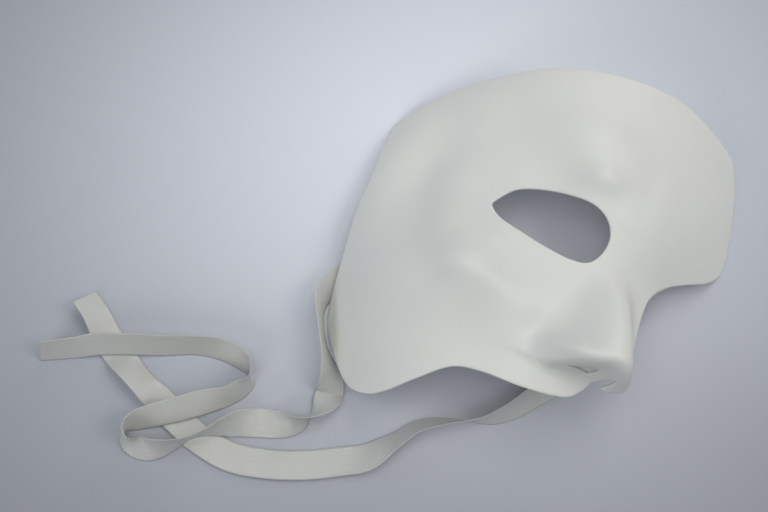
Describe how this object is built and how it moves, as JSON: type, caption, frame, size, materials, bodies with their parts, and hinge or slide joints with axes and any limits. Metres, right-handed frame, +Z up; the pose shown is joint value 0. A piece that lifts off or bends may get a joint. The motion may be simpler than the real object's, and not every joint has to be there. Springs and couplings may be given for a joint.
{
  "type": "masquerade half mask",
  "caption": "Plain white moulded half mask with a forehead, an eye hole, a nose and one cheek, lying face up with the satin ribbons that tie it on.",
  "frame": {"origin": "on the surface the mask lies on, under the middle of the shell", "axes": "+Z up, +Y from the cheek to the forehead, +X from the covered cheek to the open side"},
  "size_m": [0.247, 0.2261, 0.0609],
  "materials": {
    "shell": "satin moulded surface with small dimples",
    "ribbon": "satin weave with a woven edge"
  },
  "bodies": {
    "root": {"mask_shell": "shell", "ribbon_temple": "ribbon", "ribbon_brow": "ribbon"}
  },
  "joints": []
}
